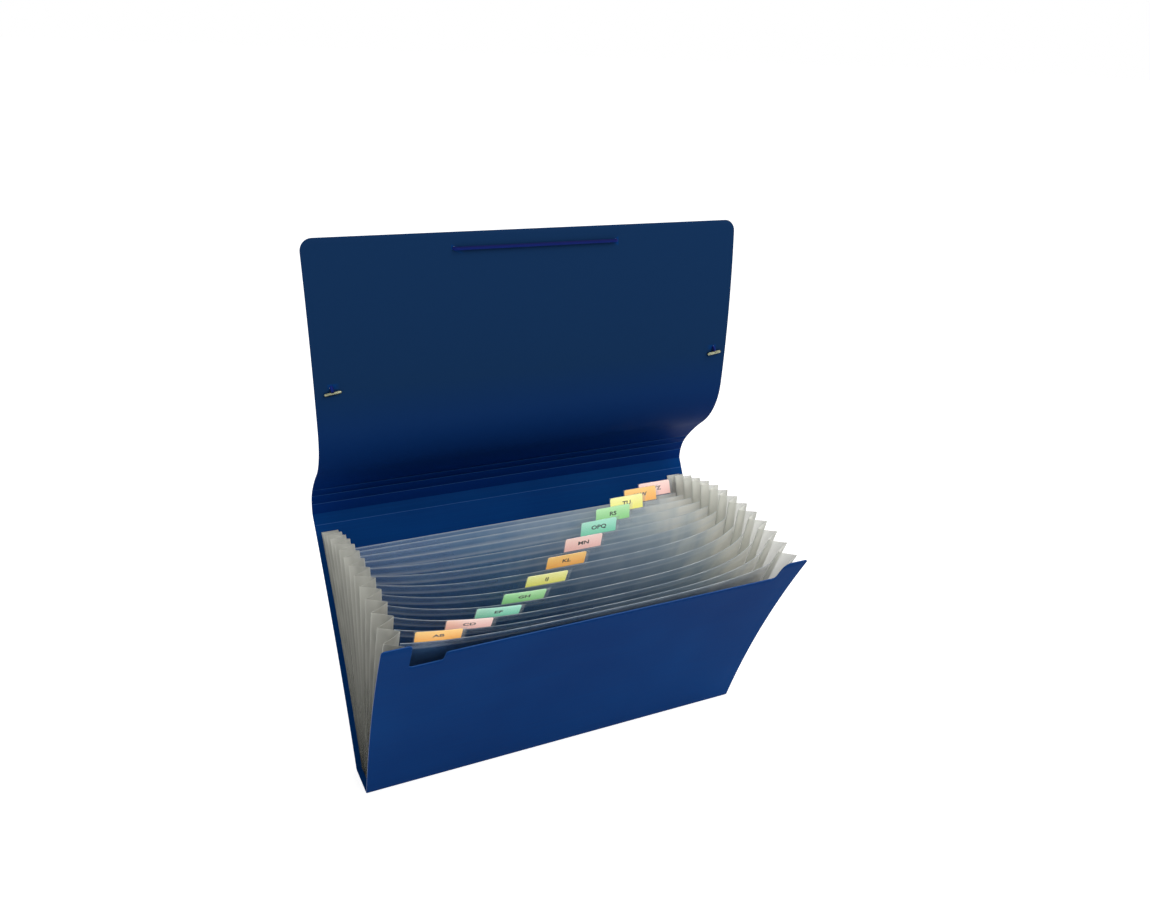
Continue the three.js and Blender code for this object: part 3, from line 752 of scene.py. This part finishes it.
makeHingeWeb()


# Pleated sides: each pocket has two walls on each side, which meet in an outer fold
pleats = {
    "outerX": 171.3,
    "width": 16.5,
    "height": 202,
    "foot": 0.5,
    "thickness": 0.25,
    "offFace": 0.45,
    "levels": 26,
    "bulge": 0.5,
    "fullBulgeAt": 120,
    "stops": (0.04, 0.12, 0.35, 0.65, 0.88, 0.96),
}


def innerFoldX(distance):
    return pleats["outerX"] - math.sqrt(pleats["width"] ** 2 - (pocketSpacing(distance) / 2) ** 2)


# Line of the pleats at one height: x, distance forward from the back panel, 1 beside a fold, and how far
# outward on its wall, from 0 to 1
def pleatLine(distance):
    spacing = pocketSpacing(distance)
    inner, outer = innerFoldX(distance), pleats["outerX"]
    off = pleats["offFace"]
    folds = [(outer, off), (inner, off)]
    for pocket in range(pocketCount):
        folds.append((outer, (pocket + 0.5) * spacing))
        folds.append((inner, (pocket + 1) * spacing if pocket < tabCount else pocketCount * spacing - off))
    folds.append((outer, pocketCount * spacing - off))
    line = []
    for i, (low, high) in enumerate(zip(folds, folds[1:])):
        bulge = pleats["bulge"] * (1 if i % 2 else -1) * min(1.0, distance / pleats["fullBulgeAt"])
        if i in (0, len(folds) - 2):
            bulge = 0
        for share in pleats["stops"]:
            x = low[0] + (high[0] - low[0]) * share
            d = low[1] + (high[1] - low[1]) * share + bulge * math.sin(math.pi * share)
            isFold = 1.0 if share in (pleats["stops"][0], pleats["stops"][-1]) else 0.0
            line.append((x, d, isFold, share if i % 2 else 1 - share))
    return line


def makePleats(side, name, node):
    levels = steps(pleats["foot"], pleats["height"], pleats["levels"])
    lines = [pleatLine(distance) for distance in levels]
    count = len(lines[0]) - 1

    def place(column, row):
        x, d = lines[row][column][:2]
        y, z = fanPoint(d / pocketSpacing(levels[row]), levels[row])
        return (side * x, y, z)

    film = gridSheet(name, count, pleats["levels"], place)
    film.data.materials.append(pleatFilm)
    for item, name in ((2, "fold"), (3, "outward")):
        markPoints(film, name, [point[item] for point in lines[0]] * len(levels))
    thicken(film, pleats["thickness"], 0)
    smooth(film, 50)
    finishPiece(film, "file", "gusset_film", node)


makePleats(-1, "pleated_side_left", "left_gusset")
makePleats(1, "pleated_side_right", "right_gusset")
print("pleated sides made")


# Dividers: films that sag forward between the pleated sides
divider = {
    "height": 187,
    "foot": 0.5,
    "gap": 0.45,
    "thickness": 0.24,
    "deepestSag": 2.1,
    "power": 1.25,
    "rise": 7,
    "fall": 8,
    "growth": 1.1,
    "stations": 56,
    "closeRowsFrom": 165,
    "rows": 12,
    "closeRows": 5,
}


# A point of a divider: share goes across it from 0 to 1. The sag is deepest two thirds of the way forward,
# where forward squared times (1 - forward) is 4 / 27.
def dividerPoint(pocket, share, distance):
    forward = pocket / pocketCount
    depth = divider["deepestSag"] * (27 / 4 * forward ** 2 * (1 - forward)) ** divider["power"]
    sag = (1 - (1 - share) ** divider["rise"]) * (1 - share ** divider["fall"])
    growth = max(0.0, distance / divider["height"]) ** divider["growth"]
    y, z = fanPoint(pocket + depth * sag * growth, distance)
    halfWidth = innerFoldX(distance) - divider["gap"]
    return Vector(((2 * share - 1) * halfWidth, y, z))


# A point in front of that surface, square to it
def inFront(pocket, share, distance, offset):
    small = 0.002
    right = dividerPoint(pocket, min(1, share + small), distance)
    along = right - dividerPoint(pocket, max(0, share - small), distance)
    up = dividerPoint(pocket, share, distance + 0.5) - dividerPoint(pocket, share, distance - 0.5)
    return dividerPoint(pocket, share, distance) + along.cross(up).normalized() * offset


def makeDivider(number):
    pocket = pocketCount - number
    count = divider["stations"]
    shares = [(1 - math.cos(math.pi * i / count)) / 2 for i in range(count + 1)]
    levels = steps(divider["foot"], divider["closeRowsFrom"], divider["rows"])
    levels += steps(divider["closeRowsFrom"], divider["height"], divider["closeRows"])[1:]

    def place(column, row):
        return dividerPoint(pocket, shares[column], levels[row])

    film = gridSheet(f"divider_film_{number}", count, len(levels) - 1, place)
    film.data.materials.append(dividerFilm)
    film.data.materials.append(filmEdge)
    markPoints(film, "rise", [level / divider["height"] for level in levels for share in shares])
    thicken(film, divider["thickness"], 0, 1)
    smooth(film, 50)
    finishPiece(film, "file", "divider_film", f"divider_{number}")


for number in range(1, tabCount + 1):
    makeDivider(number)
print("dividers made")


# Tabs: a clear sleeve over each divider's top edge, with a card in it. The lengths along the divider go from
# its left end.
tabs = {
    "letters": ["AB", "CD", "EF", "GH", "IJ", "KL", "MN", "OPQ", "RS", "TU", "V-W", "XYZ"],
    "colours": ["orange", "pink", "mint", "green", "yellow"],
    "sleeveWidth": 36,
    "firstMargin": 8.5,
    "lastMargin": 3,
    "lap": 4,
    "rise": 14,
    "inside": 0.45,
    "film": 0.3,
    "straight": 7,
    "topGap": 0.02,
    "bendSteps": 6,
    "columns": 18,
    "cardWidth": 32.5,
    "cardHeight": 12.6,
    "cardThickness": 0.3,
    "cardGap": 0.8,
    "cardCorner": 1.6,
    "cardBelowFold": 0.6,
    "cardRows": 5,
    "cardColumns": 10,
    "cornerSteps": 4,
    "letterSize": 5.8,
    "letterWeight": 0.16,
    "letterStretch": (1.12, 0.85),
    "inkLift": 0.03,
    "inkDepth": 0.02,
}
dividerWidth = 2 * (innerFoldX(divider["height"]) - divider["gap"])
tabPitch = (dividerWidth - tabs["firstMargin"] - tabs["lastMargin"] - tabs["sleeveWidth"]) / (tabCount - 1)


def makeSleeve(number):
    pocket = pocketCount - number
    left = tabs["firstMargin"] + (number - 1) * tabPitch
    middle = tabs["inside"] + tabs["film"] / 2
    edge = divider["height"]
    low, high = edge - tabs["lap"], edge + tabs["rise"]
    foldFrom = high - middle - tabs["topGap"]
    line = [(low, middle), (edge, middle), (edge + tabs["straight"], middle)]
    for turn in steps(0, math.pi, tabs["bendSteps"]):
        line.append((foldFrom + middle * math.sin(turn) - tabs["film"] / 2, middle * math.cos(turn)))
    line += [(edge + tabs["straight"], -middle), (edge, -middle), (low, -middle)]

    def place(column, row):
        share = (left + tabs["sleeveWidth"] * column / tabs["columns"]) / dividerWidth
        distance, offset = line[row]
        return inFront(pocket, share, distance, offset)

    sleeve = gridSheet(f"tab_sleeve_film_{number}", tabs["columns"], len(line) - 1, place)
    sleeve.data.materials.append(sleeveFilm)
    thicken(sleeve, tabs["film"], 0)
    smooth(sleeve, 50)
    finishPiece(sleeve, "file", "tab_film", f"tab_sleeve_{number}")


def makeCard(number):
    pocket = pocketCount - number
    left = tabs["firstMargin"] + (number - 1) * tabPitch + tabs["cardGap"]
    high = divider["height"] + tabs["rise"] - tabs["cardBelowFold"]
    low = high - tabs["cardHeight"]
    corner = tabs["cardCorner"]
    inset = [corner * (1 - math.cos(turn)) for turn in steps(0, math.pi / 2, tabs["cornerSteps"])]
    width = tabs["cardWidth"]
    between = steps(corner, width - corner, tabs["cardColumns"])[1:-1]
    columns = inset + between + [width - x for x in inset[::-1]]
    rows = steps(0, 1, tabs["cardRows"])

    def place(column, row):
        x = columns[column]
        over = max(0.0, corner - min(x, width - x))
        top = high - corner + math.sqrt(max(0.0, corner ** 2 - over ** 2))
        return inFront(pocket, (left + x) / dividerWidth, low + (top - low) * rows[row], 0)

    card = gridSheet(f"index_card_{number}", len(columns) - 1, len(rows) - 1, place)
    name = tabs["colours"][(number - 1) % len(tabs["colours"])]
    card.data.materials.append(boards[name])
    markPoints(card, "rise", [rise for rise in rows for x in columns])
    thicken(card, tabs["cardThickness"], 0)
    smooth(card, 50)
    finishPiece(card, "file", "card_" + name, f"label_card_{number}")

    deselect()
    bpy.ops.object.text_add()
    text = bpy.context.object
    text.name = f"index_letters_{number}"
    text.data.body = tabs["letters"][number - 1]
    text.data.size = tabs["letterSize"]
    text.data.align_x = "CENTER"
    text.data.align_y = "CENTER"
    text.data.offset = tabs["letterWeight"]
    text.data.resolution_u = 3
    text.data.extrude = tabs["inkDepth"]
    bpy.ops.object.convert(target="MESH")
    text = bpy.context.object
    middle = (low + high) / 2
    wide, tall = tabs["letterStretch"]
    for point in text.data.vertices:
        x, y, z = point.co
        share = (left + width / 2 + wide * x) / dividerWidth
        lift = tabs["cardThickness"] / 2 + tabs["inkLift"] + z
        point.co = inFront(pocket, share, middle + tall * y, lift) * mm
    text.data.materials.clear()
    text.data.materials.append(ink)
    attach(text, "file")


for number in range(1, tabCount + 1):
    makeSleeve(number)
    makeCard(number)
print("tabs made")


# Elastic: it runs from a bar on the lid's inner face out through a side hole, slants to a front hole, crosses
# on the inside and goes back the same way. The lengths on the lid are from its hinge.
elastic = {
    "radius": 1.3,
    "gap": 0.3,
    "barLength": 13,
    "barWidth": 2.4,
    "barThickness": 1.8,
    "barTilt": math.radians(7),
    "barDrop": 4.4,
    "barRound": 0.35,
    "barEndFlat": 0.02,
    "bendSteps": 5,
}
barWay = Vector((math.sin(elastic["barTilt"]), -math.cos(elastic["barTilt"])))


# Quarter turn of the cord from one face of the lid, where it comes from that direction, into a hole
def holeBend(holeFrame, direction, faceSide):
    radius = folder["thickness"] / 2 + elastic["gap"] + elastic["radius"]
    return [
        holeFrame @ Vector((
            direction[0] * radius * (1 - math.sin(turn)),
            direction[1] * radius * (1 - math.sin(turn)),
            folder["thickness"] / 2 + faceSide * radius * math.cos(turn),
        ))
        for turn in steps(0, math.pi / 2, elastic["bendSteps"])
    ]


def makeElastic():
    route = []
    sideX, sideDistance = lidShape["sideHole"]
    frontX, frontDistance = lidShape["frontHole"]
    for side in (-1, 1):
        sideHole = lidFrame(sideDistance, side * sideX)
        frontHole = lidFrame(frontDistance, side * frontX)
        run = Vector((-side * (sideX - frontX), frontDistance - sideDistance)).normalized()
        end = (barWay * (elastic["barDrop"] - elastic["barWidth"] / 2 - elastic["gap"])).to_3d()
        end.z = folder["thickness"] + elastic["gap"] + elastic["radius"]
        half = [sideHole @ end]
        half += holeBend(sideHole, barWay, 1)[:-1]
        half += holeBend(sideHole, run, -1)[::-1]
        half += holeBend(frontHole, -run, -1)
        half += holeBend(frontHole, Vector((-side, 0)), 1)[::-1][1:]
        route += half if side < 0 else half[::-1]
    path = bpy.data.curves.new("elastic_cord", "CURVE")
    path.dimensions = "3D"
    path.bevel_depth = elastic["radius"] * mm
    path.bevel_resolution = 3
    path.use_fill_caps = True
    line = path.splines.new("POLY")
    line.points.add(len(route) - 1)
    for point, place in zip(line.points, route):
        point.co = (*(place * mm), 1)
    cord = bpy.data.objects.new("elastic_cord", path)
    scene.collection.objects.link(cord)
    pick(cord)
    bpy.ops.object.convert(target="MESH")
    cord = bpy.context.object
    cord.data.materials.clear()
    cord.data.materials.append(elasticBraid)
    smooth(cord, 60)
    finishPiece(cord, "lid", "elastic_cord", "elastic")


# A flat bar with round ends, modelled in millimetres and then put beside its hole
def makeBar(side, name, node):
    length, width, thickness = (elastic[size] for size in ("barLength", "barWidth", "barThickness"))
    deselect()
    bpy.ops.mesh.primitive_cube_add(size=1, scale=(length, width, thickness))
    bar = bpy.context.object
    bar.name = name
    bpy.ops.object.transform_apply(location=False, rotation=False, scale=True)
    bpy.ops.object.mode_set(mode="EDIT")
    bpy.ops.mesh.select_all(action="DESELECT")
    bpy.ops.object.mode_set(mode="OBJECT")
    for edge in bar.data.edges:
        low, high = (bar.data.vertices[i].co for i in edge.vertices)
        edge.select = abs(low.z - high.z) > 0.1
    bpy.ops.object.mode_set(mode="EDIT")
    bpy.ops.mesh.select_mode(type="EDGE")
    bpy.ops.mesh.bevel(offset=width / 2 - elastic["barEndFlat"], segments=8, affect="EDGES")
    bpy.ops.object.mode_set(mode="OBJECT")
    roundEdges(bar, elastic["barRound"], 3, 50)
    lift = folder["thickness"] + elastic["gap"] + thickness / 2
    down = barWay * elastic["barDrop"]
    x, distance = lidShape["sideHole"]
    turned = Matrix.Rotation(elastic["barTilt"], 4, "Z")
    whole = lidFrame(distance, side * x) @ Matrix.Translation((down.x, down.y, lift)) @ turned
    bar.data.transform(Matrix.Scale(mm, 4) @ whole)
    bar.data.materials.append(barMetal)
    smooth(bar)
    finishPiece(bar, "lid", "bar_metal", node)


makeElastic()
makeBar(-1, "elastic_bar_metal_left", "elastic_bar_left")
makeBar(1, "elastic_bar_metal_right", "elastic_bar_right")
print("elastic made")


# Floor and light, in metres and watts
studio = {
    "floorSize": 80.0,
    "floorDrop": 0.0002,
    "floorGlow": 0.66,
    "floorTone": (0.82, 0.82, 0.82, 1),
    "skyLight": 0.62,
    "keyPlace": (0.9, -1.1, 1.9),
    "keySize": 1.6,
    "keyPower": 26,
    "fillPlace": (-1.6, -1.0, 0.9),
    "fillSize": 1.6,
    "fillPower": 2.5,
    "aim": (0, 0, 0.2),
}


# 1 for the rays that see the background: from the camera, off gloss or through glass
def seenDirectly(tree):
    path = addNode(tree, "LightPath")
    seen = addNode(tree, "Math", {"operation": "MAXIMUM"},
                   {0: path.outputs["Is Camera Ray"], 1: path.outputs["Is Glossy Ray"]})
    return addNode(tree, "Math", {"operation": "MAXIMUM"},
                   {0: seen.outputs[0], 1: path.outputs["Is Transmission Ray"]})


def makeFloor():
    material, tree = newMaterial("white_paper_sweep")
    seen = seenDirectly(tree)
    level = addNode(tree, "Math", {"operation": "MULTIPLY", 1: studio["floorGlow"]}, {0: seen.outputs[0]})
    glow = addNode(tree, "Emission", {"Color": (1, 1, 1, 1)}, {"Strength": level.outputs[0]})
    paper = addNode(tree, "BsdfDiffuse", {"Color": studio["floorTone"]})
    both = addNode(tree, "AddShader", None, {0: glow.outputs[0], 1: paper.outputs[0]})
    addNode(tree, "OutputMaterial", None, {"Surface": both.outputs[0]})
    deselect()
    bpy.ops.mesh.primitive_plane_add(size=studio["floorSize"], location=(0, 0, -studio["floorDrop"]))
    floor = bpy.context.object
    floor.name = "floor"
    floor.data.materials.append(material)


def makeSky():
    world = bpy.data.worlds.new("studio")
    scene.world = world
    world.use_nodes = True
    tree = world.node_tree
    tree.nodes.clear()
    seen = seenDirectly(tree)
    strength = addNode(tree, "MapRange", {"To Min": studio["skyLight"], "To Max": 1.0},
                       {"Value": seen.outputs[0]})
    sky = addNode(tree, "Background", {"Color": (1, 1, 1, 1)}, {"Strength": strength.outputs[0]})
    addNode(tree, "OutputWorld", None, {"Surface": sky.outputs[0]})


def addLamp(name, place, size, power):
    bpy.ops.object.light_add(type="AREA", location=place)
    lamp = bpy.context.object
    lamp.name = name
    lamp.data.shape = "DISK"
    lamp.data.size = size
    lamp.data.energy = power
    aim = Vector(studio["aim"]) - Vector(place)
    lamp.rotation_euler = aim.to_track_quat("-Z", "Y").to_euler()


makeFloor()
makeSky()
addLamp("key_light", studio["keyPlace"], studio["keySize"], studio["keyPower"])
addLamp("fill_light", studio["fillPlace"], studio["fillSize"], studio["fillPower"])
print("studio made")
